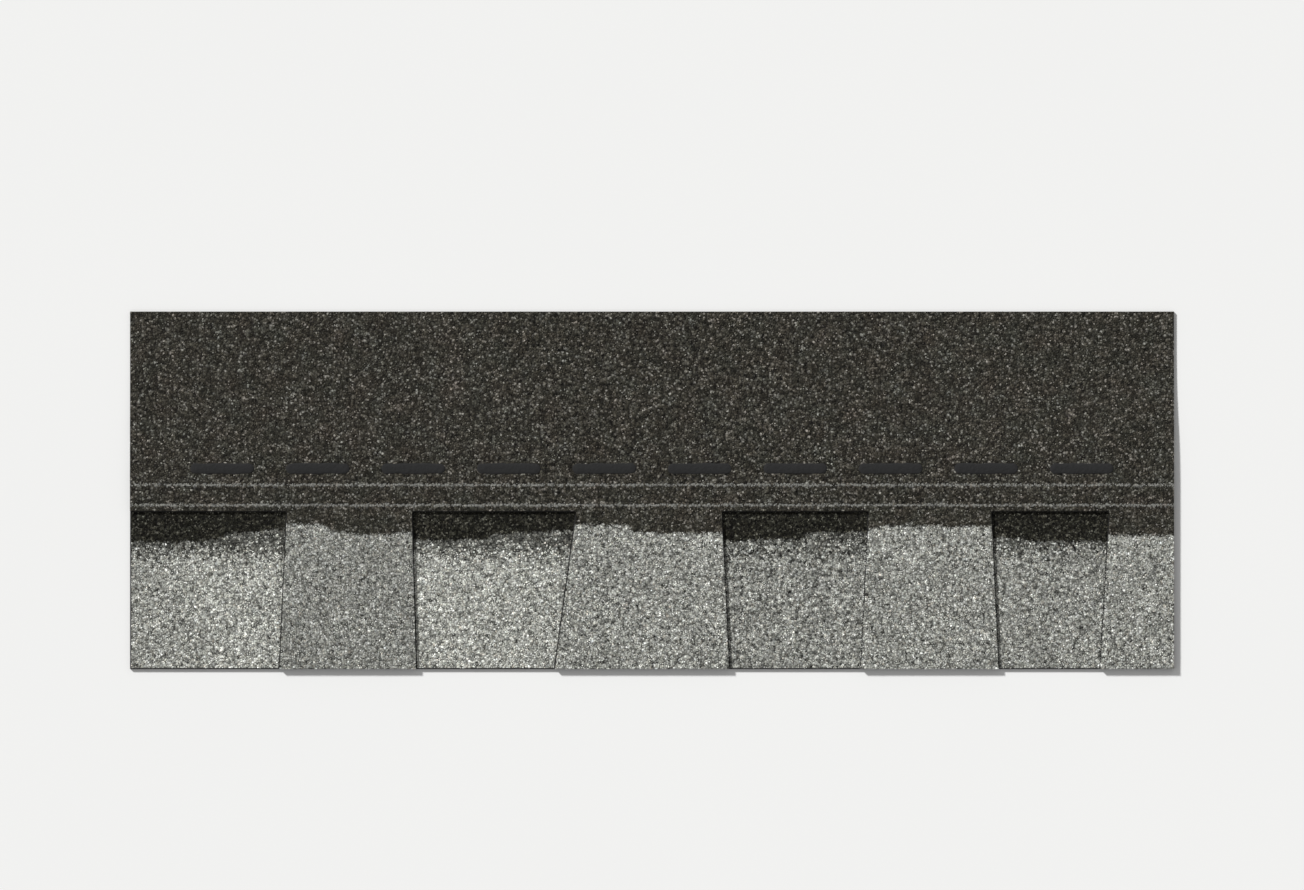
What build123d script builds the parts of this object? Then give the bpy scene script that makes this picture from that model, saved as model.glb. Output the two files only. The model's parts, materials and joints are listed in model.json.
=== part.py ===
from build123d import *
import math
import os

# Laminated asphalt roof shingle: a toothed top sheet bonded over a plain backer strip.
# It lies unheld on a level floor, granules up, and its headlap has sagged down to the floor.
# Millimetres, +Z up. +X runs along the width, and +Y from the butt edge to the headlap edge.
# The origin is the middle of the bounding box, at floor level.
# The functions work from the left-hand corner of the butt edge, and place() centres each piece.

# Whole shingle
shingle_width = 984.0
shingle_height = 337.0

# Top sheet, and the part of it that shows on a roof
sheet_thickness = 2.5
exposure = 143.0
cut_out_past_exposure = 6.0
cut_out_corner_radius = 2.5

# Cut-outs and teeth in turn from the left-hand end, as widths at the butt edge.
# The last tooth runs on to the right-hand end.
cut_out_1_width = 141.0
tooth_1_width = 128.5
cut_out_2_width = 131.0
tooth_2_width = 164.0
cut_out_3_width = 124.5
tooth_3_width = 129.5
cut_out_4_width = 96.0

# How much each tooth narrows on each side, from the butt edge to the top of the cut-outs
tooth_1_left_splay = 7.0
tooth_1_right_splay = 4.0
tooth_2_left_splay = 20.5
tooth_2_right_splay = 7.0
tooth_3_left_splay = 7.5
tooth_3_right_splay = 7.0
tooth_4_left_splay = 9.0

# Backer strip under the teeth
backer_thickness = 2.5
backer_height = 178.0

# Asphalt adhesive that bonds the two layers, in flat lines along the width
adhesive_thickness = 0.4
adhesive_line_width = 9.0
adhesive_end_inset = 10.0
bond_line_spacing = 13.0
tooth_line_count = 3

# Drape of the headlap, from the backer's top edge down to the floor
drape_length = 120.0

# Sealant dashes on the face, just above the backer's top edge
sealant_thickness = 0.8
sealant_edge_radius = 0.5
sealant_dash_length = 60.0
sealant_dash_width = 10.0
sealant_dash_gap = 30.0
sealant_from_backer_edge = 6.0

# Release film on the back, so that stacked shingles don't stick
film_thickness = 0.2
film_width = 28.0
film_from_backer_edge = 12.0

# How far cutting tools run past the sheet
overrun = 20.0

# Worked out from the sizes above
cut_out_height = exposure + cut_out_past_exposure
bond_height = backer_height - cut_out_height
sheet_underside = backer_thickness + adhesive_thickness
drape_end = backer_height + drape_length
drape_angle = 2.0 * math.atan(sheet_underside / drape_length)

# Each cut-out is its width, the tooth after it, and the splays of the edges on its left and right
cut_outs = [
    (cut_out_1_width, tooth_1_width, 0.0, tooth_1_left_splay),
    (cut_out_2_width, tooth_2_width, tooth_1_right_splay, tooth_2_left_splay),
    (cut_out_3_width, tooth_3_width, tooth_2_right_splay, tooth_3_left_splay),
    (cut_out_4_width, shingle_width, tooth_3_right_splay, tooth_4_left_splay),
]


def place(shape):
    return Pos(-shingle_width / 2.0, -shingle_height / 2.0, 0.0) * shape


def drape_line(offset):
    """The sheet's underside in section, moved up by an offset: flat, an S-bend of two arcs, flat."""
    bend_start = (backer_height, sheet_underside + offset)
    bend_middle = (
        backer_height + drape_length / 2.0 + offset * math.sin(drape_angle),
        sheet_underside / 2.0 + offset * math.cos(drape_angle),
    )
    bend_end = (drape_end, offset)
    over_backer = Line((0.0, sheet_underside + offset), bend_start)
    first_arc = TangentArc(bend_start, bend_middle, tangent=(1.0, 0.0))
    second_arc = TangentArc(bend_end, bend_middle, tangent=(-1.0, 0.0))
    on_floor = Line(bend_end, (shingle_height, offset))
    return [over_backer, first_arc, second_arc, on_floor]


def layer_section(lower, upper):
    """The section between two offsets from the sheet's underside, from the butt edge to the top edge."""
    butt_end = Line((0.0, sheet_underside + lower), (0.0, sheet_underside + upper))
    top_end = Line((shingle_height, lower), (shingle_height, upper))
    outline = drape_line(lower) + [top_end] + drape_line(upper) + [butt_end]
    return Plane.YZ * make_face(outline)


def layer(lower, upper):
    return extrude(layer_section(lower, upper), shingle_width)


def upright(outline):
    """A flat outline extruded through the whole thickness of the shingle, with some to spare."""
    return Pos(0.0, 0.0, -overrun) * extrude(outline, 2.0 * overrun + sheet_underside)


def cut_out_spans():
    """The left and right ends of each cut-out at the butt edge, with the splays of those two edges."""
    spans = []
    start = 0.0
    for width, tooth_width, left_splay, right_splay in cut_outs:
        spans.append((start, start + width, left_splay, right_splay))
        start += width + tooth_width
    return spans


def cut_out_outline(left, right, left_splay, right_splay):
    """A cut-out that widens upwards, run out past the butt edge along the same slopes."""
    run = overrun / cut_out_height
    if left <= 0.0:
        left -= overrun
    outline = Polygon(
        (left + left_splay * run, -overrun),
        (right - right_splay * run, -overrun),
        (right + right_splay, cut_out_height),
        (left - left_splay, cut_out_height),
        align=None,
    )
    return fillet(outline.vertices().sort_by(Axis.Y)[-2:], cut_out_corner_radius)


def tooth_spans():
    """The ends of each tooth's straight bonding length: as wide as the tooth is at its root."""
    spans = []
    cut_out_list = cut_out_spans()
    for number, (left, right, left_splay, right_splay) in enumerate(cut_out_list):
        start = right + right_splay
        if number + 1 < len(cut_out_list):
            following = cut_out_list[number + 1]
            end = following[0] - following[2]
        else:
            end = shingle_width
        end = min(end, shingle_width)
        if end - start > 2.0 * adhesive_end_inset + adhesive_line_width:
            spans.append((start, end))
    return spans


def tooth_sheet():
    """Top sheet, full height, with its teeth left standing between the cut-outs."""
    sheet = layer(0.0, sheet_thickness)
    for span in cut_out_spans():
        sheet -= upright(cut_out_outline(*span))
    return sheet


def backer_strip():
    outline = Pos(shingle_width / 2.0, backer_height / 2.0) * Rectangle(shingle_width, backer_height)
    return extrude(outline, backer_thickness)


def adhesive_line(left, right, middle):
    """One flat line of adhesive with round ends, from the backer's face up to the sheet."""
    length = right - left - 2.0 * adhesive_end_inset
    outline = SlotOverall(length, adhesive_line_width)
    line = extrude(outline, adhesive_thickness)
    return Pos((left + right) / 2.0, middle, backer_thickness) * line


def laminating_adhesive():
    """Two lines along the whole common bond, and short ones under every tooth."""
    bond_middle = cut_out_height + bond_height / 2.0
    lines = []
    for side in (-0.5, 0.5):
        lines.append(adhesive_line(0.0, shingle_width, bond_middle + side * bond_line_spacing))
    line_pitch = cut_out_height / tooth_line_count
    for left, right in tooth_spans():
        for number in range(tooth_line_count):
            lines.append(adhesive_line(left, right, (number + 0.5) * line_pitch))
    return Compound(children=[place(line) for line in lines])


def sealant_strip():
    """A row of dashes with round ends, following the face where the drape begins."""
    face = layer(sheet_thickness, sheet_thickness + sealant_thickness)
    pitch = sealant_dash_length + sealant_dash_gap
    count = int((shingle_width - sealant_dash_gap) // pitch)
    first = (shingle_width - (count - 1) * pitch) / 2.0
    middle = backer_height + sealant_from_backer_edge + sealant_dash_width / 2.0
    dashes = []
    for number in range(count):
        outline = Pos(first + number * pitch, middle) * SlotOverall(sealant_dash_length, sealant_dash_width)
        dash = face & upright(outline)
        upper_edges = dash.faces().sort_by(Axis.Z)[-1].edges()
        dashes.append(fillet(upper_edges, sealant_edge_radius))
    return Compound(children=[place(dash) for dash in dashes])


def release_film():
    """A thin strip along the whole width, following the sheet's underside above the backer."""
    middle = backer_height + film_from_backer_edge + film_width / 2.0
    outline = Pos(shingle_width / 2.0, middle) * Rectangle(shingle_width, film_width)
    return layer(-film_thickness, 0.0) & upright(outline)


os.makedirs("parts", exist_ok=True)
export_step(place(tooth_sheet()), "parts/tooth_sheet.step")
export_step(place(backer_strip()), "parts/backer_strip.step")
export_step(laminating_adhesive(), "parts/laminating_adhesive.step")
export_step(sealant_strip(), "parts/sealant_strip.step")
export_step(place(release_film()), "parts/release_film.step")
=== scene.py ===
import json
import math

import bmesh
import bpy
from bpy.props import FloatProperty, FloatVectorProperty, IntProperty, PointerProperty
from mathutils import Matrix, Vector

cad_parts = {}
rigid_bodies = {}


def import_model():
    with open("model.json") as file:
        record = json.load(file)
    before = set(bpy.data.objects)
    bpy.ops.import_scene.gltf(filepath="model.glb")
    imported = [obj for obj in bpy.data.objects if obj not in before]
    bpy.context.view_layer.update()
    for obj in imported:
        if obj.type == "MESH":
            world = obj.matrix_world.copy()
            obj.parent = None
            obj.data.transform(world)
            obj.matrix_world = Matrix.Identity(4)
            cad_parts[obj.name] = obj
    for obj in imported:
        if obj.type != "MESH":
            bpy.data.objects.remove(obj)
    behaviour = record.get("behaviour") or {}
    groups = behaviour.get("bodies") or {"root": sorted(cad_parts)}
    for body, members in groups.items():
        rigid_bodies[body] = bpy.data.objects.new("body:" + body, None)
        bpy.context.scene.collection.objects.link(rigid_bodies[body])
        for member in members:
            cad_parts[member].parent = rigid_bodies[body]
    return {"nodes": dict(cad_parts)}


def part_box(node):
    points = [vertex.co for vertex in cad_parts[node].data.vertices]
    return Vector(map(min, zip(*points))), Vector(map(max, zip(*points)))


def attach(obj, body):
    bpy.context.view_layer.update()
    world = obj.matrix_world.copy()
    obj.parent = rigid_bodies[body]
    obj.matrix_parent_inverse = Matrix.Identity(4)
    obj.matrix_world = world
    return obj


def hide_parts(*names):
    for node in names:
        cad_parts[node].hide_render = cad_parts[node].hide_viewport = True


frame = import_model()

bl_info = {
    "name": "Laminated Asphalt Shingle",
    "version": (1, 0, 0),
    "blender": (4, 5, 0),
    "location": "View3D > Sidebar > Shingle",
    "description": "Dresses a laminated asphalt shingle with mineral granules, sealant and felt finishes",
    "category": "Object",
}

# Each piece of the shingle belongs to the one body of a part without joints.
BODY = "root"
SHEET = "tooth_sheet"
BACKER = "backer_strip"
ADHESIVE = "laminating_adhesive"
SEALANT = "sealant_strip"
FILM = "release_film"

sheet_low, sheet_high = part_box(SHEET)
sealant_low, sealant_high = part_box(SEALANT)
backer_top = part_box(BACKER)[1].z
shingle_width = sheet_high.x - sheet_low.x
butt_edge = sheet_low.y
millimetre = 0.001
merge_distance = 0.01 * millimetre

# A face counts as an upper or a lower one where its normal points up or down by more than this
facing_limit = 0.5

# Specular levels of stone, felt and floor, which are dusty, and of asphalt
dusty_specular = 0.1
asphalt_specular = 0.25

# Names of what every granule carries: its place and two draws that pick its colour
PLACE = "granule_place"
PICK = "granule_pick"
TINT = "granule_tint"

# Name of the texture map on each piece of granules
BAKE_MAP = "OFBake"

# Shade bands at the top of the exposed face, as places along the width from 0 to 1 and how far each band
# reaches below the exposure line, in millimetres. Each band is dark granules and also painted shadow:
# where it reaches least far, it stands in for the shadow that the butt of the course above casts.
tooth_band_and_shadow_steps = [
    (0.150, 6.2), (0.180, 7.0), (0.200, 13.5), (0.222, 16.3), (0.268, 14.5),
    (0.430, 7.5), (0.474, 7.0), (0.486, 14.5), (0.568, 15.3),
    (0.708, 11.4), (0.726, 8.0), (0.828, 8.6), (0.939, 17.4), (1.000, 17.2),
]
recess_band_and_shadow_steps = [
    (0.000, 24.0), (0.070, 22.9), (0.084, 21.0), (0.092, 15.8), (0.105, 15.5), (0.146, 11.8),
    (0.275, 22.0), (0.340, 21.6), (0.352, 15.6), (0.376, 15.2), (0.412, 13.4),
    (0.573, 22.9), (0.642, 20.6), (0.651, 15.2), (0.703, 14.9),
    (0.838, 19.8), (0.856, 20.3), (0.866, 23.0), (0.933, 23.4),
]
longest_band = 40.0

# How many recesses, from the left-hand end, show a line of bare asphalt at the foot of the teeth: a dark
# line that is partly painted shade at the teeth's foot
shaded_foot_count = 2

# How light the granules are on the teeth and in the recesses, how strongly they vary, and what
# share of the recess granules just below the band is dark. Each is a place along the width and a level.
tooth_tones = [(0.34, 0.88), (0.36, 1.01), (0.63, 1.02), (0.88, 1.02)]
recess_tones = [
    (0.01, 1.02), (0.06, 1.17), (0.12, 1.31), (0.20, 1.30),
    (0.38, 1.29), (0.42, 1.16), (0.57, 0.85), (0.61, 0.93), (0.77, 0.945),
]
tooth_contrasts = [(0.34, 0.88), (0.36, 1.22), (0.63, 1.16), (0.88, 0.98)]
recess_contrasts = [(0.20, 1.02), (0.22, 0.92), (0.49, 0.92), (0.51, 1.3), (0.76, 1.3), (0.78, 1.06)]
recess_dark_shares = [(0.49, 0.88), (0.51, 0.64)]

# Tint of a granule by its second draw, and how light it is in a shade band by its first draw
granule_tints = [
    (0.00, (1.0, 1.0, 1.0)), (0.60, (1.0, 1.0, 1.0)), (0.68, (1.03, 1.0, 0.95)),
    (0.82, (0.98, 1.01, 0.98)), (0.90, (0.97, 1.0, 1.03)), (0.97, (1.03, 0.99, 0.95)),
    (1.00, (1.07, 0.98, 0.91)),
]
shade_spread = [
    (0.0, 0.01), (0.4, 0.05), (0.7, (0.108, 0.11, 0.116)), (0.9, (0.234, 0.24, 0.27)),
    (1.0, (0.56, 0.58, 0.70)),
]


class ShingleSizes(bpy.types.PropertyGroup):
    exposure: FloatProperty(
        name="Exposure",
        description="Height of the face that shows on a roof, from the butt edge",
        default=0.143,
        unit="LENGTH",
    )
    cut_out_height: FloatProperty(
        name="Cut-out height",
        description="Height of the cut-outs between the teeth, from the butt edge",
        default=0.149,
        unit="LENGTH",
    )
    rim: FloatProperty(
        name="Bare rim",
        description="Width along the cut edges that no granule sits on",
        default=0.0009,
        unit="LENGTH",
    )
    # A line of bare asphalt at the foot of the teeth, dark as painted shade there.
    foot_shade_line: FloatProperty(
        name="Bare foot",
        description="Width of the line of bare asphalt at the foot of the teeth",
        default=0.0011,
        unit="LENGTH",
    )
    covered_foot: FloatProperty(
        name="Covered foot",
        description="The same width in the recesses where granules lie right up to the teeth",
        default=0.0001,
        unit="LENGTH",
    )
    # The bare asphalt under the teeth and at their foot is partly painted shade: it darkens the backer
    # where the teeth shade it.
    coat: FloatProperty(
        name="Asphalt coat",
        description="Thickness of the bare asphalt under the teeth and at their foot",
        default=0.00012,
        unit="LENGTH",
    )
    half_shade: FloatProperty(
        name="Half shade",
        description="How far scattered dark granules reach below the exposure line in the recesses",
        default=0.044,
        unit="LENGTH",
    )
    nail_line_low: FloatProperty(
        name="Lower nail line",
        description="Height of the lower painted line, from the butt edge",
        default=0.1545,
        unit="LENGTH",
    )
    nail_line_high: FloatProperty(
        name="Upper nail line",
        description="Height of the upper painted line, from the butt edge",
        default=0.1735,
        unit="LENGTH",
    )
    nail_line_width: FloatProperty(
        name="Nail line width",
        description="Width of each painted line",
        default=0.003,
        unit="LENGTH",
    )
    dash_length: FloatProperty(
        name="Sealant dash length",
        description="Length of each sealant dash",
        default=0.06,
        unit="LENGTH",
    )
    dash_count: IntProperty(
        name="Sealant dashes",
        description="Number of sealant dashes in the row",
        default=10,
    )


class ShingleGranules(bpy.types.PropertyGroup):
    size: FloatProperty(
        name="Granule size",
        description="Width of an average granule",
        default=0.00215,
        unit="LENGTH",
    )
    face_spacing: FloatProperty(
        name="Face spacing",
        description="Least distance between granules on the teeth and in the recesses",
        default=0.00142,
        unit="LENGTH",
    )
    headlap_spacing: FloatProperty(
        name="Headlap spacing",
        description="Least distance between granules on the covered part of the sheet",
        default=0.0018,
        unit="LENGTH",
    )
    shapes: IntProperty(
        name="Granule shapes",
        description="How many different granules are strewn",
        default=12,
    )
    light: FloatVectorProperty(
        name="Lightest granule",
        description="Colour of the lightest granules of the blend",
        subtype="COLOR",
        default=(0.95, 0.96, 0.92),
    )
    middle: FloatVectorProperty(
        name="Middle granule",
        description="Colour of the common grey granules of the blend",
        subtype="COLOR",
        default=(0.455, 0.46, 0.42),
    )
    dark: FloatVectorProperty(
        name="Darkest granule",
        description="Colour of the darkest granules of the blend",
        subtype="COLOR",
        default=(0.09, 0.091, 0.083),
    )
    headlap: FloatVectorProperty(
        name="Headlap granule",
        description="Colour of the plain dark granules above the exposed face",
        subtype="COLOR",
        default=(0.065, 0.0635, 0.048),
    )
    # The recess band's near-black granules; in this colour the band also paints the shadow of the course
    # above.
    shade: FloatVectorProperty(
        name="Shade band granule",
        description="Colour of the nearly black granules at the top of each recess",
        subtype="COLOR",
        default=(0.028, 0.0274, 0.0185),
    )


class ShingleFinishes(bpy.types.PropertyGroup):
    asphalt: FloatVectorProperty(
        name="Asphalt",
        description="Colour of the asphalt at the cut edges and between the granules",
        subtype="COLOR",
        default=(0.013, 0.0125, 0.012),
    )
    parting_dust: FloatVectorProperty(
        name="Parting dust",
        description="Colour of the mineral dust on the back of the felt",
        subtype="COLOR",
        default=(0.22, 0.215, 0.20),
    )
    paint: FloatVectorProperty(
        name="Nail line paint",
        description="Colour of the painted nail lines",
        subtype="COLOR",
        default=(0.45, 0.45, 0.42),
    )
    sealant: FloatVectorProperty(
        name="Sealant",
        description="Colour of the sealant dashes",
        subtype="COLOR",
        default=(0.012, 0.012, 0.012),
    )
    film: FloatVectorProperty(
        name="Release film",
        description="Colour of the film strip on the back",
        subtype="COLOR",
        default=(0.62, 0.64, 0.65),
    )


class ShingleStage(bpy.types.PropertyGroup):
    view_width: FloatProperty(
        name="View width",
        description="Width that the picture covers at the floor",
        default=1.2297,
        unit="LENGTH",
    )
    view_above_middle: FloatProperty(
        name="View above the middle",
        description="How far the middle of the picture lies above the shingle's middle",
        default=0.0427,
        unit="LENGTH",
    )
    lens: FloatProperty(
        name="Lens",
        description="Focal length in millimetres on a 36 mm sensor",
        default=240.0,
    )
    key_strength: FloatProperty(
        name="Key light",
        description="Strength of the lamp at the upper left",
        default=4.07,
    )
    fill_strength: FloatProperty(
        name="Fill light",
        description="Strength of the light from all round",
        default=0.36,
    )
    floor: FloatVectorProperty(
        name="Floor",
        description="Colour of the floor",
        subtype="COLOR",
        default=(0.88, 0.88, 0.87),
    )


def deselect_all():
    for item in bpy.context.selected_objects:
        item.select_set(False)


def make_active(item):
    deselect_all()
    item.select_set(True)
    bpy.context.view_layer.objects.active = item


# Shader building


def new_node(tree, kind, **settings):
    node = tree.nodes.new(kind)
    for name, value in settings.items():
        setattr(node, name, value)
    return node


def feed(tree, socket, value):
    """Links a socket to another one, or sets it to a plain value."""
    if isinstance(value, bpy.types.NodeSocket):
        tree.links.new(value, socket)
    else:
        socket.default_value = value


def wired(tree, kind, inputs, **settings):
    """Adds a node with some of its inputs fed, each by its name or number, and gives its outputs."""
    node = new_node(tree, kind, **settings)
    for key, value in inputs.items():
        feed(tree, node.inputs[key], value)
    return node.outputs


def maths(tree, operation, *values, clamp=False):
    inputs = dict(enumerate(values))
    return wired(tree, "ShaderNodeMath", inputs, operation=operation, use_clamp=clamp)[0]


def times(tree, *values):
    """The product of two or more values."""
    product = values[0]
    for value in values[1:]:
        product = maths(tree, "MULTIPLY", product, value)
    return product


def mix_colour(tree, factor, first, second, blend="MIX"):
    inputs = {0: factor, 6: first, 7: second}
    return wired(tree, "ShaderNodeMix", inputs, data_type="RGBA", blend_type=blend)[2]


def ramp(tree, factor, stops, interpolation="LINEAR"):
    """A colour ramp with its stops as (place, colour) or (place, grey level)."""
    node = new_node(tree, "ShaderNodeValToRGB")
    node.color_ramp.interpolation = interpolation
    elements = node.color_ramp.elements
    for number, (place, colour) in enumerate(stops):
        element = elements[number] if number < 2 else elements.new(place)
        element.position = place
        element.color = opaque(colour if hasattr(colour, "__len__") else (colour,) * 3)
    feed(tree, node.inputs[0], factor)
    return node.outputs["Color"]


def noise(tree, vector, scale, detail=2.0, roughness=0.5):
    inputs = {"Vector": vector, "Scale": scale, "Detail": detail, "Roughness": roughness}
    return wired(tree, "ShaderNodeTexNoise", inputs)["Fac"]


def grey(tree, value):
    """A grey colour from one number, which may be over 1."""
    return wired(tree, "ShaderNodeCombineColor", {0: value, 1: value, 2: value})[0]


def stretch(tree, value, gain, offset, clamp=True):
    """A value times a gain plus an offset, cut off at 0 and 1 unless told otherwise."""
    return maths(tree, "MULTIPLY_ADD", value, gain, offset, clamp=clamp)


def axes(tree, vector):
    """The three numbers of a vector, as sockets named X, Y and Z."""
    return wired(tree, "ShaderNodeSeparateXYZ", {0: vector})


def along_width(tree, place):
    """How far along the shingle a place lies, from 0 at the left-hand end to 1."""
    from_end = maths(tree, "SUBTRACT", axes(tree, place)["X"], sheet_low.x)
    return maths(tree, "DIVIDE", from_end, shingle_width)


def vector_maths(tree, operation, first, second):
    return wired(tree, "ShaderNodeVectorMath", {0: first, 1: second}, operation=operation)


def tinted(tree, first, second):
    """One colour multiplied by another."""
    return mix_colour(tree, 1.0, first, second, "MULTIPLY")


def opaque(colour):
    """A colour with its alpha, as colour sockets take it."""
    return (*colour, 1.0)


def new_group(name, inputs, outputs):
    """A shader node group with its named sockets, and its input and output nodes."""
    tree = bpy.data.node_groups.new(name, "ShaderNodeTree")
    for socket_name, kind, default in inputs:
        socket = tree.interface.new_socket(socket_name, in_out="INPUT", socket_type=kind)
        if default is not None:
            socket.default_value = default
    for socket_name, kind in outputs:
        tree.interface.new_socket(socket_name, in_out="OUTPUT", socket_type=kind)
    return tree, new_node(tree, "NodeGroupInput").outputs, new_node(tree, "NodeGroupOutput").inputs


def use_group(tree, name, **values):
    """Places a shader node group in a tree, with its inputs set by their names in lower case."""
    node = new_node(tree, "ShaderNodeGroup", node_tree=bpy.data.node_groups[name])
    for socket in node.inputs:
        key = socket.name.lower().replace(" ", "_")
        if key in values:
            feed(tree, socket, values[key])
    return node.outputs


FLOAT = "NodeSocketFloat"
COLOUR = "NodeSocketColor"
VECTOR = "NodeSocketVector"


def band_group(name, steps):
    """Where a granule lies in a dark band with a stepped lower edge, partly painted shadow of the course
    above, or is a dark one strewn below it.
    """
    waver = 3.5 * millimetre
    stray_reach = 2.4 * millimetre
    blur = 1.8 * millimetre
    strewn_darkness = 0.78
    sizes = bpy.context.scene.shingle_sizes
    tree, given, out = new_group(
        name,
        [
            ("Place", VECTOR, None),
            ("Stray", FLOAT, 0.5),
            ("Strewn", FLOAT, 0.5),
            ("Strewn Share", FLOAT, 0.0),
        ],
        [("Mask", FLOAT)],
    )
    place = given["Place"]
    stops = [(stop, depth / longest_band) for stop, depth in steps]
    reach = ramp(tree, along_width(tree, place), stops, "EASE")
    reach = times(tree, reach, longest_band * millimetre)
    wave = maths(tree, "SUBTRACT", noise(tree, place, scale=70.0), 0.5)
    reach = maths(tree, "ADD", reach, times(tree, wave, waver))
    stray = maths(tree, "SUBTRACT", given["Stray"], 0.5)
    reach = maths(tree, "ADD", reach, times(tree, stray, stray_reach))
    depth = maths(tree, "SUBTRACT", butt_edge + sizes.exposure, axes(tree, place)["Y"])
    band = stretch(tree, maths(tree, "SUBTRACT", reach, depth), gain=1.0 / blur, offset=0.5)
    fade = maths(tree, "SUBTRACT", sizes.half_shade, depth)
    fade = maths(tree, "DIVIDE", fade, sizes.half_shade / 2.0, clamp=True)
    clumps = stretch(tree, noise(tree, place, scale=130.0), gain=1.8, offset=0.1, clamp=False)
    share = times(tree, fade, given["Strewn Share"], clumps)
    strewn = times(tree, maths(tree, "LESS_THAN", given["Strewn"], share), strewn_darkness)
    feed(tree, out["Mask"], maths(tree, "MAXIMUM", band, strewn))
    return tree


def blend_group():
    """The colour of one granule of the grey blend, from its two draws, its tone and its shade."""
    clump_strength = 3.1
    darkest_clump = 0.05
    mean_spread = 0.112
    spread_gain = 9.1
    warming = (1.22, 0.95, 0.90)
    granules = bpy.context.scene.shingle_granules
    tree, given, out = new_group(
        "granule_blend",
        [
            ("Place", VECTOR, None),
            ("Pick", FLOAT, 0.5),
            ("Tint", FLOAT, 0.5),
            ("Tone", FLOAT, 1.0),
            ("Contrast", FLOAT, 1.0),
            ("Shade", FLOAT, 0.0),
            ("Shade Colour", COLOUR, (0.05, 0.05, 0.04, 1.0)),
            ("Warmth", FLOAT, 0.0),
            ("Speckle", FLOAT, 1.0),
        ],
        [("Color", COLOUR)],
    )
    place = given["Place"]
    dark, middle, light = Vector(granules.dark), Vector(granules.middle), Vector(granules.light)
    stones = [
        (0.0, dark),
        (0.10, dark.lerp(middle, 0.38)),
        (0.30, dark.lerp(middle, 0.74)),
        (0.55, middle),
        (0.77, middle.lerp(light, 0.15)),
        (0.92, middle.lerp(light, 0.42)),
        (1.0, light),
    ]
    stone = ramp(tree, given["Pick"], stones)
    tint = ramp(tree, given["Tint"], granule_tints)
    mottle = noise(tree, place, scale=28.0, detail=3.0, roughness=0.55)
    mottle = stretch(tree, mottle, gain=0.37, offset=0.725, clamp=False)
    clumps = maths(tree, "SUBTRACT", noise(tree, place, scale=245.0, detail=1.0), 0.5)
    clumps = times(tree, clumps, clump_strength, given["Contrast"])
    clumps = maths(tree, "MAXIMUM", maths(tree, "ADD", clumps, 1.0), darkest_clump)
    tone = times(tree, given["Tone"], mottle, clumps)
    blended = tinted(tree, tinted(tree, stone, tint), grey(tree, tone))

    spread = ramp(tree, given["Pick"], shade_spread)
    spread = mix_colour(tree, given["Speckle"], opaque((mean_spread,) * 3), spread)
    spread = tinted(tree, spread, grey(tree, times(tree, clumps, spread_gain)))
    rust = noise(tree, place, scale=45.0, detail=3.0, roughness=0.6)
    warm = times(tree, stretch(tree, rust, gain=2.2, offset=-0.75), given["Warmth"])
    warmed = tinted(tree, given["Shade Colour"], opaque(warming))
    shaded = tinted(tree, mix_colour(tree, warm, given["Shade Colour"], warmed), spread)
    feed(tree, out["Color"], mix_colour(tree, given["Shade"], blended, shaded))
    return tree


def nail_line_group():
    """Where granules carry the two thin painted lines of the nail zone."""
    edge_stray = 0.8 * millimetre
    painted_share = 0.86
    sizes = bpy.context.scene.shingle_sizes
    tree, given, out = new_group(
        "nail_lines",
        [("Place", VECTOR, None), ("Stray", FLOAT, 0.5)],
        [("Mask", FLOAT)],
    )
    across = axes(tree, given["Place"])["Y"]
    lines = []
    for height in (sizes.nail_line_low, sizes.nail_line_high):
        away = maths(tree, "ABSOLUTE", maths(tree, "SUBTRACT", across, butt_edge + height))
        away = maths(tree, "ADD", away, times(tree, given["Stray"], edge_stray))
        lines.append(maths(tree, "LESS_THAN", away, sizes.nail_line_width / 2.0))
    painted = maths(tree, "LESS_THAN", given["Stray"], painted_share)
    feed(tree, out["Mask"], times(tree, maths(tree, "MAXIMUM", *lines), painted))
    return tree


def level_along(tree, place, levels):
    """A level from 0 to 2 that changes along the width."""
    highest = 2.0
    stops = [(stop, level / highest) for stop, level in levels]
    return times(tree, ramp(tree, along_width(tree, place), stops), highest)


def granule_colour(tree, place, pick, tint, on_sheet):
    """The colour of granules on the top sheet or on the backer strip, from their place and draws."""
    # What is left after the point of the second draw times this serves as a third draw.
    redraw_factor = 23.0
    paint_cover = 0.5
    granules = bpy.context.scene.shingle_granules
    finishes = bpy.context.scene.shingle_finishes
    # The band darkens granules towards its shade colour: dark granules, and in part painted shadow of the
    # course above.
    if on_sheet:
        tones, contrasts, band, shade = tooth_tones, tooth_contrasts, "tooth_band", granules.headlap
        strewn_share, warmth, speckle = 0.0, 0.6, 0.75
    else:
        tones, contrasts, band, shade = recess_tones, recess_contrasts, "recess_band", granules.shade
        strewn_share, warmth, speckle = level_along(tree, place, recess_dark_shares), 0.3, 1.0
    strewn = maths(tree, "FRACT", times(tree, tint, redraw_factor))
    mask = use_group(tree, band, place=place, stray=tint, strewn=strewn, strewn_share=strewn_share)["Mask"]
    colour = use_group(
        tree,
        "granule_blend",
        place=place,
        pick=pick,
        tint=tint,
        tone=level_along(tree, place, tones),
        contrast=level_along(tree, place, contrasts),
        shade=mask,
        shade_colour=opaque(shade),
        warmth=warmth,
        speckle=speckle,
    )["Color"]
    if on_sheet:
        lines = use_group(tree, "nail_lines", place=place, stray=pick)["Mask"]
        colour = mix_colour(tree, times(tree, lines, paint_cover), colour, opaque(finishes.paint))
    return colour


def new_material(name):
    """A material with only a Principled BSDF, which is returned with its tree."""
    material = bpy.data.materials.new(name)
    material.use_nodes = True
    tree = material.node_tree
    return material, tree, tree.nodes["Principled BSDF"]


def attribute(tree, name):
    return new_node(tree, "ShaderNodeAttribute", attribute_name=name).outputs


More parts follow.
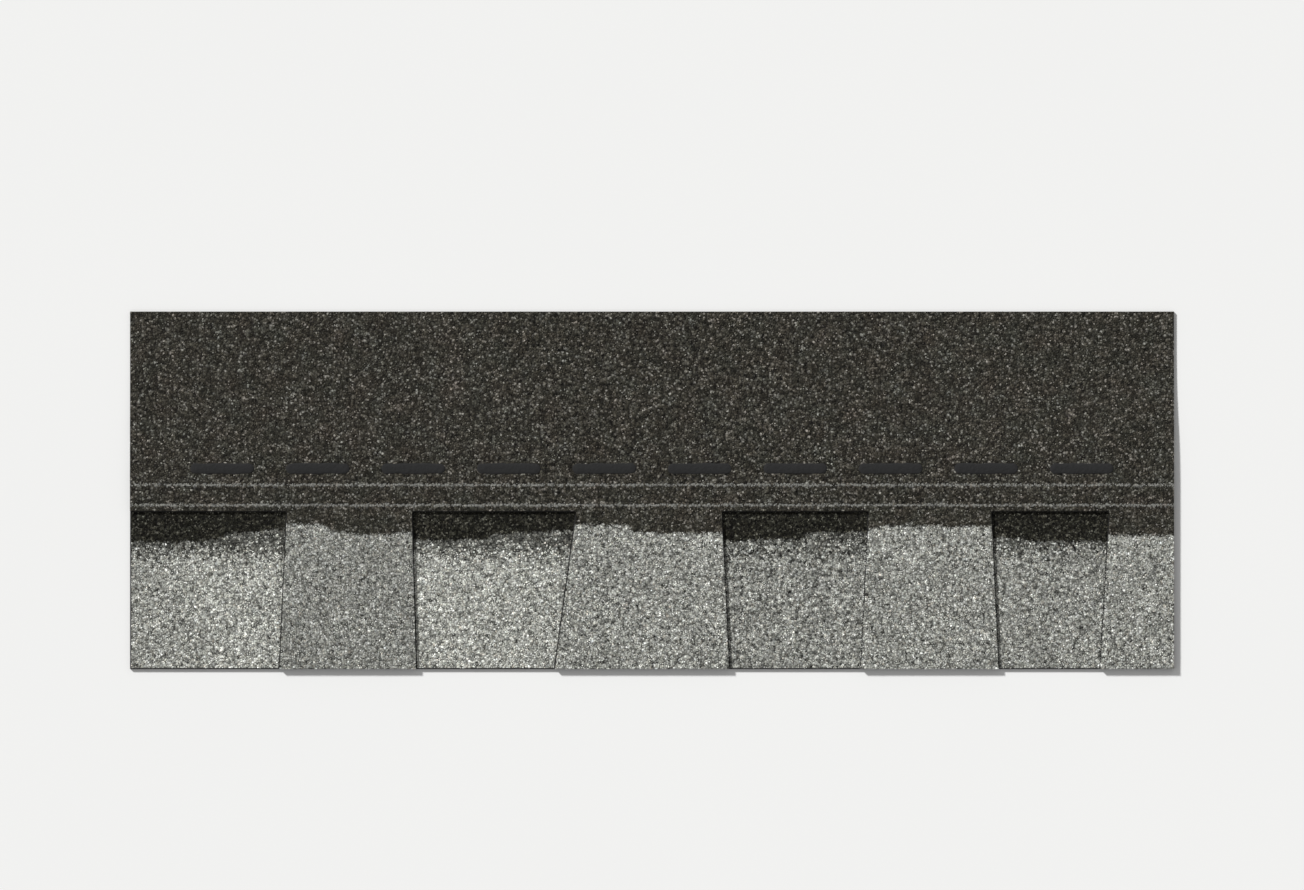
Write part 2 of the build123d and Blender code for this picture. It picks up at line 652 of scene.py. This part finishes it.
def object_place(tree):
    """The place on the piece, in its own coordinates."""
    return new_node(tree, "ShaderNodeTexCoord").outputs["Object"]


def add_bump(tree, shader, height, strength, distance):
    inputs = {"Strength": strength, "Distance": distance, "Height": height}
    feed(tree, shader.inputs["Normal"], wired(tree, "ShaderNodeBump", inputs)["Normal"])


def granule_material(name, on_sheet):
    """Stone granules, each in one colour picked by what the granule carries."""
    material, tree, shader = new_material(name)
    place = attribute(tree, PLACE)["Vector"]
    pick = attribute(tree, PICK)["Fac"]
    tint = attribute(tree, TINT)["Fac"]
    feed(tree, shader.inputs["Base Color"], granule_colour(tree, place, pick, tint, on_sheet))
    feed(tree, shader.inputs["Roughness"], stretch(tree, tint, gain=-0.25, offset=0.92))
    shader.inputs["Specular IOR Level"].default_value = dusty_specular
    return material


def felt_material(name, on_sheet):
    """Asphalt felt: bedded granules on top, black asphalt at the cut edges, dusted asphalt behind."""
    bedded_tone = (0.9, 0.9, 0.9)
    gap_darkness = 0.6
    gap_depth = 0.5
    edge_dust = 0.35
    dust_height = 0.3
    facet_slope = 1.4
    finishes = bpy.context.scene.shingle_finishes
    granules = bpy.context.scene.shingle_granules
    asphalt, parting_dust = opaque(finishes.asphalt), opaque(finishes.parting_dust)
    material, tree, shader = new_material(name)
    place = object_place(tree)
    inputs = {"Vector": place, "Scale": 1.0 / granules.size}
    cells = wired(tree, "ShaderNodeTexVoronoi", inputs, voronoi_dimensions="2D")
    draws = wired(tree, "ShaderNodeSeparateColor", {0: cells["Color"]})

    bedded = granule_colour(tree, cells["Position"], draws[0], draws[1], on_sheet)
    gap = stretch(tree, cells["Distance"], gain=3.0, offset=-0.75)
    face = tinted(tree, bedded, opaque(bedded_tone))
    face = mix_colour(tree, times(tree, gap, gap_darkness), face, asphalt)

    dust = noise(tree, place, scale=900.0, detail=3.0, roughness=0.7)
    dust = stretch(tree, dust, gain=2.6, offset=-0.95)
    patches = noise(tree, place, scale=22.0, detail=4.0, roughness=0.6)
    patches = stretch(tree, patches, gain=1.6, offset=-0.35)
    back = mix_colour(tree, times(tree, dust, patches), asphalt, parting_dust)
    grit = noise(tree, place, scale=1400.0, roughness=0.7)
    grit = stretch(tree, grit, gain=3.0, offset=-1.4)
    edge = mix_colour(tree, times(tree, grit, edge_dust), asphalt, parting_dust)

    upwards = axes(tree, new_node(tree, "ShaderNodeNewGeometry").outputs["Normal"])["Z"]
    is_face = maths(tree, "GREATER_THAN", upwards, facing_limit)
    is_back = maths(tree, "LESS_THAN", upwards, -facing_limit)
    colour = mix_colour(tree, is_back, mix_colour(tree, is_face, edge, face), back)
    feed(tree, shader.inputs["Base Color"], colour)
    feed(tree, shader.inputs["Roughness"], stretch(tree, dust, gain=0.25, offset=0.65))
    shader.inputs["Specular IOR Level"].default_value = dusty_specular

    tilt = vector_maths(tree, "SUBTRACT", cells["Color"], (0.5, 0.5, 0.5))[0]
    away = vector_maths(tree, "SUBTRACT", place, cells["Position"])[0]
    slope = vector_maths(tree, "DOT_PRODUCT", tilt, away)["Value"]
    facet = stretch(tree, slope, gain=facet_slope / granules.size, offset=0.5, clamp=False)
    facet = maths(tree, "SUBTRACT", facet, times(tree, gap, gap_depth))
    height = maths(tree, "ADD", times(tree, facet, is_face), times(tree, dust, dust_height))
    add_bump(tree, shader, height, strength=0.8, distance=0.6 * millimetre)
    return material


def asphalt_material(name, colour, roughness, wrinkle):
    """Black asphalt with a skin that is slightly wrinkled and dulled in patches."""
    skin_lightness = 2.2
    material, tree, shader = new_material(name)
    skin = noise(tree, object_place(tree), scale=320.0, detail=4.0, roughness=0.6)
    lighter = Vector(colour) * skin_lightness
    feed(tree, shader.inputs["Base Color"], mix_colour(tree, skin, opaque(colour), opaque(lighter)))
    feed(tree, shader.inputs["Roughness"], stretch(tree, skin, gain=0.3, offset=roughness))
    shader.inputs["Specular IOR Level"].default_value = asphalt_specular
    add_bump(tree, shader, skin, strength=0.5, distance=wrinkle)
    return material


def film_material(name, colour):
    """Thin clear film with fine creases along its length."""
    opacity = 0.55
    crease_stretch = (0.25, 1.0, 1.0)
    clouded_lightness = 0.7
    material, tree, shader = new_material(name)
    inputs = {"Vector": object_place(tree), "Scale": crease_stretch}
    place = wired(tree, "ShaderNodeMapping", inputs)["Vector"]
    creases = noise(tree, place, scale=260.0, detail=4.0, roughness=0.65)
    clouded = Vector(colour) * clouded_lightness
    feed(tree, shader.inputs["Base Color"], mix_colour(tree, creases, opaque(clouded), opaque(colour)))
    feed(tree, shader.inputs["Roughness"], stretch(tree, creases, gain=0.2, offset=0.12))
    shader.inputs["Alpha"].default_value = opacity
    add_bump(tree, shader, creases, strength=0.6, distance=0.3 * millimetre)
    return material


# Faces of the felt, on which the granules lie


def edit_all(item):
    """Opens an object in edit mode with all of it selected."""
    make_active(item)
    bpy.ops.object.mode_set(mode="EDIT")
    bpy.ops.mesh.select_all(action="SELECT")


def leave_editing():
    bpy.ops.object.mode_set(mode="OBJECT")


def select_vertices(item, wanted):
    """Selects just those vertices of an object in edit mode whose place is wanted."""
    mesh = bmesh.from_edit_mesh(item.data)
    for vertex in mesh.verts:
        vertex.select_set(wanted(vertex.co))
    mesh.select_flush_mode()
    bmesh.update_edit_mesh(item.data)


def merge_doubles(item):
    edit_all(item)
    bpy.ops.mesh.remove_doubles(threshold=merge_distance)
    leave_editing()


def join(items):
    """Joins objects into the first of them."""
    make_active(items[0])
    for item in items:
        item.select_set(True)
    bpy.ops.object.join()
    return items[0]


def modify(item, kind, **settings):
    """Adds a modifier to an object and applies it."""
    make_active(item)
    modifier = item.modifiers.new(kind, kind)
    for name, value in settings.items():
        setattr(modifier, name, value)
    bpy.ops.object.modifier_apply(modifier=modifier.name)


def set_material(item, material):
    item.data.materials.clear()
    item.data.materials.append(material)


def copy_of_node(node, name):
    """A merged copy of a CAD node's mesh, as a new object."""
    source = frame["nodes"][node]
    copy = bpy.data.objects.new(name, source.data.copy())
    bpy.context.scene.collection.objects.link(copy)
    copy.data.materials.clear()
    merge_doubles(copy)
    return copy


def keep_faces(item, wanted):
    """Deletes the faces of an object that a test of centre and normal doesn't want."""
    edit_all(item)
    bpy.ops.mesh.select_mode(type="FACE")
    mesh = bmesh.from_edit_mesh(item.data)
    for face in mesh.faces:
        face.select_set(not wanted(face.calc_center_median(), face.normal))
    bmesh.update_edit_mesh(item.data)
    bpy.ops.mesh.delete(type="FACE")
    leave_editing()


def trim(item, point, outwards):
    """Cuts an object along a plane and throws away what lies on the plane's outer side."""
    edit_all(item)
    bpy.ops.mesh.bisect(plane_co=point, plane_no=outwards, clear_outer=True)
    leave_editing()


def part_rim(item, width, keep_rim):
    """Parts a face into its inside and a narrow rim around it, and keeps one of them."""
    edit_all(item)
    bpy.ops.mesh.select_mode(type="FACE")
    bpy.ops.mesh.inset(thickness=width, depth=0.0, use_boundary=True)
    if not keep_rim:
        bpy.ops.mesh.select_all(action="INVERT")
    bpy.ops.mesh.delete(type="FACE")
    leave_editing()


def split_loose(item, name):
    """Separates an object's islands into objects that are numbered from left to right."""
    edit_all(item)
    bpy.ops.mesh.separate(type="LOOSE")
    leave_editing()
    parts = sorted(bpy.context.selected_objects, key=lambda part: min(v.co.x for v in part.data.vertices))
    for number, part in enumerate(parts, 1):
        part.name = f"{name}_{number}"
    return parts


def faces_up(normal):
    return normal.z > facing_limit


def cut_out_top():
    return butt_edge + bpy.context.scene.shingle_sizes.cut_out_height


def sheet_face(name):
    """The top sheet's whole upper face, without its rim."""
    face = copy_of_node(SHEET, name)
    keep_faces(face, lambda centre, normal: faces_up(normal))
    part_rim(face, bpy.context.scene.shingle_sizes.rim, False)
    return face


def tooth_faces():
    """The upper faces of the teeth, one object each."""
    teeth = sheet_face("tooth")
    trim(teeth, (0.0, cut_out_top(), 0.0), (0.0, 1.0, 0.0))
    return split_loose(teeth, "tooth_granules")


def move_up(item, height):
    edit_all(item)
    bpy.ops.transform.translate(value=(0.0, 0.0, height))
    leave_editing()


def backer_face(name, operation):
    """The backer strip's upper face outside the top sheet (DIFFERENCE) or under it (INTERSECT)."""
    face = copy_of_node(BACKER, name)
    lift = (sheet_high.z - backer_top) / 2.0
    move_up(face, lift)
    sheet = copy_of_node(SHEET, "sheet_cutter")
    modify(face, "BOOLEAN", operation=operation, solver="EXACT", object=sheet)
    bpy.data.objects.remove(sheet)
    top = backer_top + lift
    near_top = 0.1 * millimetre
    keep_faces(face, lambda centre, normal: faces_up(normal) and abs(centre.z - top) < near_top)
    move_up(face, -lift)
    return face


def recess_faces():
    """The parts of the backer strip's face that show between the teeth, one object each."""
    sizes = bpy.context.scene.shingle_sizes
    recesses = split_loose(backer_face("recess", "DIFFERENCE"), "recess_granules")
    for number, recess in enumerate(recesses):
        # The first recesses leave their bare asphalt line, painted shade at the teeth's foot, in view.
        part_rim(recess, sizes.foot_shade_line if number < shaded_foot_count else sizes.covered_foot, False)
        trim(recess, (0.0, butt_edge + sizes.rim, 0.0), (0.0, -1.0, 0.0))
    return recesses


def headlap_faces(count):
    """The face above the cut-outs, in upright strips so that no piece of it grows too large."""
    strips = []
    for number in range(count):
        left = sheet_low.x + number / count * shingle_width
        right = sheet_low.x + (number + 1) / count * shingle_width
        strip = sheet_face(f"headlap_granules_{number + 1}")
        trim(strip, (0.0, cut_out_top(), 0.0), (0.0, -1.0, 0.0))
        trim(strip, (right, 0.0, 0.0), (1.0, 0.0, 0.0))
        trim(strip, (left, 0.0, 0.0), (-1.0, 0.0, 0.0))
        strips.append(strip)
    return strips


# Granules


def crushed_stone(number):
    """One granule about a unit wide and half sunk: an uneven pyramid, or every third time a blunt one."""
    middle_radius = 0.1
    keel_depth = 0.4
    unevenness = 0.11
    deselect_all()
    if number % 3 < 2:
        bpy.ops.mesh.primitive_cone_add(
            vertices=4 + number % 3,
            radius1=0.5,
            radius2=0.0,
            depth=0.48,
            end_fill_type="TRIFAN",
            location=(0.0, 0.0, 0.10),
        )
    else:
        bpy.ops.mesh.primitive_cone_add(
            vertices=3, radius1=0.58, radius2=0.24, depth=0.52, location=(0.0, 0.0, 0.0)
        )
    bpy.ops.object.transform_apply(location=True)
    granule = bpy.context.object
    bpy.ops.object.mode_set(mode="EDIT")
    select_vertices(granule, lambda spot: spot.z < 0.0 and spot.xy.length < middle_radius)
    bpy.ops.transform.translate(value=(0.0, 0.0, -keel_depth))
    bpy.ops.mesh.select_all(action="SELECT")
    bpy.ops.transform.vertex_random(offset=unevenness, uniform=0.4, normal=0.0, seed=number)
    bpy.ops.mesh.normals_make_consistent(inside=False)
    leave_editing()
    granule.name = f"granule_shape_{number}"
    return granule


def granule_shapes():
    """The different granules, in a collection of their own."""
    shapes = bpy.data.collections.new("granule_shapes")
    bpy.context.scene.collection.children.link(shapes)
    for number in range(bpy.context.scene.shingle_granules.shapes):
        granule = crushed_stone(number)
        bpy.context.collection.objects.unlink(granule)
        shapes.objects.link(granule)
    return shapes


def field(tree, kind, low, high, seed):
    """A random value for each granule."""
    node = new_node(tree, "FunctionNodeRandomValue", data_type=kind)
    sockets = {socket.name: socket for socket in node.inputs if socket.enabled}
    sockets["Min"].default_value = low
    sockets["Max"].default_value = high
    feed(tree, sockets["Seed"], seed)
    return next(socket for socket in node.outputs if socket.enabled)


def store(tree, geometry, name, kind, value):
    """Writes a value on every instance, under a name that its realized granule keeps."""
    node = new_node(tree, "GeometryNodeStoreNamedAttribute", data_type=kind, domain="INSTANCE")
    feed(tree, node.inputs["Geometry"], geometry)
    node.inputs["Name"].default_value = name
    feed(tree, next(s for s in node.inputs if s.name == "Value" and s.enabled), value)
    return node.outputs["Geometry"]


def scatter_tree(shapes):
    """Geometry nodes that strew granules over a face and realize them as one mesh."""
    trials_in_spacing = 9.0
    sealant_clearance = 0.4 * millimetre
    most_tilt = 0.24
    width_skew = 1.4
    least_width = 0.79
    width_range = 0.5
    breadth_share = 0.88
    height_share = 0.7
    turn_seed, width_seed, kind_seed, pick_seed, tint_seed = 11, 12, 13, 14, 15
    tree = bpy.data.node_groups.new("strew_granules", "GeometryNodeTree")
    tree.interface.new_socket("Geometry", in_out="OUTPUT", socket_type="NodeSocketGeometry")
    tree.interface.new_socket("Geometry", in_out="INPUT", socket_type="NodeSocketGeometry")
    for name, kind in (("Spacing", FLOAT), ("Size", FLOAT), ("Seed", "NodeSocketInt")):
        tree.interface.new_socket(name, in_out="INPUT", socket_type=kind)
    given = new_node(tree, "NodeGroupInput").outputs
    out = new_node(tree, "NodeGroupOutput").inputs
    spacing = given["Spacing"]

    crowd = maths(tree, "DIVIDE", trials_in_spacing, times(tree, spacing, spacing))
    inputs = {
        "Mesh": given["Geometry"],
        "Distance Min": spacing,
        "Density Max": crowd,
        "Seed": given["Seed"],
    }
    points = wired(tree, "GeometryNodeDistributePointsOnFaces", inputs, distribute_method="POISSON")

    inputs = {"Object": frame["nodes"][SEALANT]}
    sealant = wired(tree, "GeometryNodeObjectInfo", inputs, transform_space="ORIGINAL")
    near = wired(tree, "GeometryNodeProximity", {0: sealant["Geometry"]}, target_element="FACES")
    is_sealed = maths(tree, "LESS_THAN", near["Distance"], sealant_clearance)
    inputs = {"Geometry": points["Points"], "Selection": is_sealed}
    left_over = wired(tree, "GeometryNodeDeleteGeometry", inputs, domain="POINT")

    inputs = {"Collection": shapes, "Separate Children": True, "Reset Children": True}
    kinds = wired(tree, "GeometryNodeCollectionInfo", inputs, transform_space="ORIGINAL")

    least_turn, most_turn = (-most_tilt, -most_tilt, 0.0), (most_tilt, most_tilt, math.tau)
    turn = field(tree, "FLOAT_VECTOR", least_turn, most_turn, turn_seed)
    width = maths(tree, "POWER", field(tree, "FLOAT", 0.0, 1.0, width_seed), width_skew)
    width = stretch(tree, width, gain=width_range, offset=least_width, clamp=False)
    width = times(tree, width, given["Size"])
    inputs = {0: width, 1: times(tree, width, breadth_share), 2: times(tree, width, height_share)}
    scale = wired(tree, "ShaderNodeCombineXYZ", inputs)[0]

    inputs = {
        "Points": left_over["Geometry"],
        "Instance": kinds["Instances"],
        "Pick Instance": True,
        "Instance Index": field(tree, "INT", 0, len(shapes.objects) - 1, kind_seed),
        "Rotation": turn,
        "Scale": scale,
    }
    strewn = wired(tree, "GeometryNodeInstanceOnPoints", inputs)["Instances"]
    place = new_node(tree, "GeometryNodeInputPosition").outputs[0]
    strewn = store(tree, strewn, PLACE, "FLOAT_VECTOR", place)
    strewn = store(tree, strewn, PICK, "FLOAT", field(tree, "FLOAT", 0.0, 1.0, pick_seed))
    strewn = store(tree, strewn, TINT, "FLOAT", field(tree, "FLOAT", 0.0, 1.0, tint_seed))
    feed(tree, out["Geometry"], wired(tree, "GeometryNodeRealizeInstances", {0: strewn})[0])
    return tree


def strew(item, tree, spacing, size, seed):
    """Turns a face into the granules that lie on it."""
    make_active(item)
    modifier = item.modifiers.new("granules", "NODES")
    modifier.node_group = tree
    values = {"Spacing": spacing, "Size": size, "Seed": seed}
    for socket in tree.interface.items_tree:
        if socket.in_out == "INPUT" and socket.name in values:
            modifier[socket.identifier] = values[socket.name]
    bpy.ops.object.modifier_apply(modifier=modifier.name)


def map_from_above(item):
    """A texture map of the piece as seen from above, over its whole width and depth."""
    mesh = item.data
    for layer in list(mesh.uv_layers):
        mesh.uv_layers.remove(layer)
    layer = mesh.uv_layers.new(name=BAKE_MAP)
    xs = [v.co.x for v in mesh.vertices]
    ys = [v.co.y for v in mesh.vertices]
    low_x, low_y = min(xs), min(ys)
    width, depth = max(xs) - low_x, max(ys) - low_y
    values = []
    for loop in mesh.loops:
        values.append((xs[loop.vertex_index] - low_x) / width)
        values.append((ys[loop.vertex_index] - low_y) / depth)
    layer.uv.foreach_set("vector", values)


def lay_granules(faces, spacing, material, first_seed):
    """Strews granules on faces, and gives each piece its material, slot and body."""
    granules = bpy.context.scene.shingle_granules
    shapes = granule_shapes()
    tree = scatter_tree(shapes)
    for number, face in enumerate(faces):
        strew(face, tree, spacing, granules.size, first_seed + number)
        map_from_above(face)
        set_material(face, material)
        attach(face, BODY)
    for shape in list(shapes.objects):
        bpy.data.objects.remove(shape)
    bpy.data.collections.remove(shapes)
    bpy.data.node_groups.remove(tree)


def sealant_dash(length, width, height, place):
    """One dash: a ball drawn out to length, flattened, cut off in the face and left a little uneven."""
    middle = 0.01 * width
    length_cuts = 10
    buried = 0.25 * millimetre
    side_waver = 1.6 * millimetre
    top_waver = 0.25 * millimetre
    smooth_angle = math.radians(50.0)
    waver = bpy.data.textures["sealant_waver"]
    deselect_all()
    bpy.ops.mesh.primitive_uv_sphere_add(
        segments=24, ring_count=12, radius=width / 2.0, rotation=(0.0, math.pi / 2.0, 0.0)
    )
    bpy.ops.object.transform_apply(rotation=True)
    dash = bpy.context.object
    bpy.ops.object.mode_set(mode="EDIT")
    for side in (-1.0, 1.0):
        select_vertices(dash, lambda spot: side * spot.x > middle)
        bpy.ops.transform.translate(value=(side * (length - width) / 2.0, 0.0, 0.0))
    bpy.ops.mesh.select_mode(type="EDGE")
    mesh = bmesh.from_edit_mesh(dash.data)
    for edge in mesh.edges:
        edge.select_set(edge.calc_length() > width)
    bmesh.update_edit_mesh(dash.data)
    bpy.ops.mesh.subdivide(number_cuts=length_cuts)
    bpy.ops.mesh.select_all(action="SELECT")
    bpy.ops.transform.resize(value=(1.0, 1.0, 2.0 * height / width), center_override=(0.0, 0.0, 0.0))
    bpy.ops.transform.translate(value=place)
    bpy.ops.mesh.bisect(
        plane_co=(0.0, 0.0, place[2] - buried),
        plane_no=(0.0, 0.0, 1.0),
        use_fill=True,
        clear_inner=True,
        threshold=0.001 * millimetre,
    )
    leave_editing()
    modify(dash, "DISPLACE", texture=waver, direction="Y", strength=side_waver, mid_level=0.5)
    modify(dash, "DISPLACE", texture=waver, direction="Z", strength=top_waver, mid_level=0.5)
    bpy.ops.object.shade_smooth_by_angle(angle=smooth_angle)
    return dash


class SHINGLE_OT_felt(bpy.types.Operator):
    """Gives the two layers of felt, the adhesive between them and the film their finishes"""

    bl_idname = "shingle.felt"
    bl_label = "Finish the felt"

    def execute(self, context):
        finishes = context.scene.shingle_finishes
        band_group("tooth_band", tooth_band_and_shadow_steps)
        band_group("recess_band", recess_band_and_shadow_steps)
        blend_group()
        nail_line_group()
        looks = {
            SHEET: felt_material("sheet_felt", True),
            BACKER: felt_material("backer_felt", False),
            ADHESIVE: asphalt_material(
                "adhesive_asphalt", finishes.asphalt, roughness=0.35, wrinkle=0.1 * millimetre
            ),
            FILM: film_material("clear_film", finishes.film),
        }
        for node, material in looks.items():
            set_material(frame["nodes"][node], material)
        return {"FINISHED"}


class SHINGLE_OT_tooth_granules(bpy.types.Operator):
    """Strews the grey blend on the teeth"""

    bl_idname = "shingle.tooth_granules"
    bl_label = "Strew the teeth"

    def execute(self, context):
        spacing = context.scene.shingle_granules.face_spacing
        material = granule_material("sheet_granules", True)
        lay_granules(tooth_faces(), spacing, material, first_seed=100)
        return {"FINISHED"}


class SHINGLE_OT_recess_granules(bpy.types.Operator):
    """Strews the grey blend on the backer strip where it shows between the teeth"""

    bl_idname = "shingle.recess_granules"
    bl_label = "Strew the recesses"

    def execute(self, context):
        spacing = context.scene.shingle_granules.face_spacing
        material = granule_material("backer_granules", False)
        lay_granules(recess_faces(), spacing, material, first_seed=200)
        return {"FINISHED"}


class SHINGLE_OT_foot_asphalt(bpy.types.Operator):
    """Coats the backer strip with bare asphalt under the teeth, and in a thin line at their foot, as
    painted shade under and beside the teeth
    """

    bl_idname = "shingle.foot_asphalt"
    bl_label = "Lay the bare asphalt"

    def execute(self, context):
        sizes = context.scene.shingle_sizes
        finishes = context.scene.shingle_finishes
        # Painted shade: a dark asphalt line at the teeth's foot, and a dark coat where the teeth cover the
        # backer.
        lines = backer_face("foot_asphalt", "DIFFERENCE")
        part_rim(lines, sizes.foot_shade_line, True)
        coat = join([lines, backer_face("covered_asphalt", "INTERSECT")])
        merge_doubles(coat)
        modify(coat, "SOLIDIFY", thickness=sizes.coat, offset=1.0)
        material = asphalt_material(
            "foot_asphalt", finishes.asphalt, roughness=0.6, wrinkle=0.1 * millimetre
        )
        set_material(coat, material)
        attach(coat, BODY)
        return {"FINISHED"}


class SHINGLE_OT_headlap_granules(bpy.types.Operator):
    """Strews the plain dark granules above the cut-outs"""

    bl_idname = "shingle.headlap_granules"
    bl_label = "Strew the headlap"

    def execute(self, context):
        spacing = context.scene.shingle_granules.headlap_spacing
        material = bpy.data.materials["sheet_granules"]
        lay_granules(headlap_faces(count=4), spacing, material, first_seed=300)
        return {"FINISHED"}


class SHINGLE_OT_sealant(bpy.types.Operator):
    """Lays the row of domed sealant dashes on the face"""

    bl_idname = "shingle.sealant"
    bl_label = "Lay the sealant"

    def execute(self, context):
        dome_share = 0.9
        waver_length = 9.0 * millimetre
        sizes = context.scene.shingle_sizes
        finishes = context.scene.shingle_finishes
        waver = bpy.data.textures.new("sealant_waver", "CLOUDS")
        waver.noise_scale = waver_length
        width = sealant_high.y - sealant_low.y
        middle = (sealant_high.y + sealant_low.y) / 2.0
        height = dome_share * (sealant_high.z - sheet_high.z)
        first = sealant_low.x + sizes.dash_length / 2.0
        pitch = (sealant_high.x - sealant_low.x - sizes.dash_length) / (sizes.dash_count - 1)
        dashes = []
        for number in range(sizes.dash_count):
            place = (first + number * pitch, middle, sheet_high.z)
            dashes.append(sealant_dash(sizes.dash_length, width, height, place))
        row = join(dashes)
        row.name = "sealant_dashes"
        material = asphalt_material(
            "sealant_asphalt", finishes.sealant, roughness=0.72, wrinkle=1.3 * millimetre
        )
        set_material(row, material)
        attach(row, BODY)
        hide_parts(SEALANT)
        return {"FINISHED"}


class SHINGLE_OT_stage(bpy.types.Operator):
    """Sets up the floor, the lamp, the light all round and the camera straight above"""

    bl_idname = "shingle.stage"
    bl_label = "Set up the stage"

    def execute(self, context):
        floor_size = 8.0
        floor_mottle = 0.985
        key_direction = Vector((1.0, -1.0, -0.82))
        key_spread = 0.12
        sensor_width = 36.0
        farthest = 100.0
        stage = context.scene.shingle_stage
        deselect_all()
        bpy.ops.mesh.primitive_plane_add(size=floor_size, location=(0.0, 0.0, 0.0))
        floor = context.object
        floor.name = "floor"
        material, tree, shader = new_material("pale_floor")
        pale = Vector(stage.floor)
        cloud = noise(tree, object_place(tree), scale=3.0)
        colour = mix_colour(tree, cloud, opaque(pale * floor_mottle), opaque(pale))
        feed(tree, shader.inputs["Base Color"], colour)
        shader.inputs["Roughness"].default_value = 0.9
        shader.inputs["Specular IOR Level"].default_value = dusty_specular
        set_material(floor, material)

        bpy.ops.object.light_add(type="SUN", location=(-1.0, 1.5, 1.5))
        key = context.object
        key.name = "key_light"
        key.data.energy = stage.key_strength
        key.data.angle = key_spread
        key.rotation_mode = "QUATERNION"
        key.rotation_quaternion = key_direction.to_track_quat("-Z", "Y")

        world = bpy.data.worlds.new("even_light")
        world.use_nodes = True
        background = world.node_tree.nodes["Background"]
        background.inputs["Color"].default_value = (1.0, 1.0, 1.0, 1.0)
        background.inputs["Strength"].default_value = stage.fill_strength
        context.scene.world = world
        context.scene.view_settings.view_transform = "Standard"

        distance = stage.view_width * stage.lens / sensor_width
        place = (0.0, stage.view_above_middle, distance)
        bpy.ops.object.camera_add(location=place, rotation=(0.0, 0.0, 0.0))
        camera = context.object
        camera.name = "camera"
        camera.data.lens = stage.lens
        camera.data.sensor_width = sensor_width
        camera.data.clip_end = farthest
        context.scene.camera = camera
        return {"FINISHED"}


class SHINGLE_PT_panel(bpy.types.Panel):
    """Lists the steps that dress the shingle, with the sizes and colours that they use"""

    bl_idname = "SHINGLE_PT_panel"
    bl_label = "Laminated shingle"
    bl_space_type = "VIEW_3D"
    bl_region_type = "UI"
    bl_category = "Shingle"

    def draw(self, context):
        layout = self.layout
        for group in settings:
            box = layout.box()
            for name in settings[group].__annotations__:
                box.prop(getattr(context.scene, group), name)
        for operator in operators:
            layout.operator(operator.bl_idname)


settings = {
    "shingle_sizes": ShingleSizes,
    "shingle_granules": ShingleGranules,
    "shingle_finishes": ShingleFinishes,
    "shingle_stage": ShingleStage,
}
operators = (
    SHINGLE_OT_felt,
    SHINGLE_OT_tooth_granules,
    SHINGLE_OT_recess_granules,
    SHINGLE_OT_foot_asphalt,
    SHINGLE_OT_headlap_granules,
    SHINGLE_OT_sealant,
    SHINGLE_OT_stage,
)


def register():
    for group in settings.values():
        bpy.utils.register_class(group)
    for name, group in settings.items():
        setattr(bpy.types.Scene, name, PointerProperty(type=group))
    for operator in operators:
        bpy.utils.register_class(operator)
    bpy.utils.register_class(SHINGLE_PT_panel)


def unregister():
    bpy.utils.unregister_class(SHINGLE_PT_panel)
    for operator in reversed(operators):
        bpy.utils.unregister_class(operator)
    for name, group in settings.items():
        delattr(bpy.types.Scene, name)
        bpy.utils.unregister_class(group)


def main():
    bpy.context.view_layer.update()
    register()
    bpy.ops.shingle.felt()
    bpy.ops.shingle.tooth_granules()
    bpy.ops.shingle.recess_granules()
    bpy.ops.shingle.foot_asphalt()
    bpy.ops.shingle.headlap_granules()
    bpy.ops.shingle.sealant()
    bpy.ops.shingle.stage()


if __name__ == "__main__":
    main()
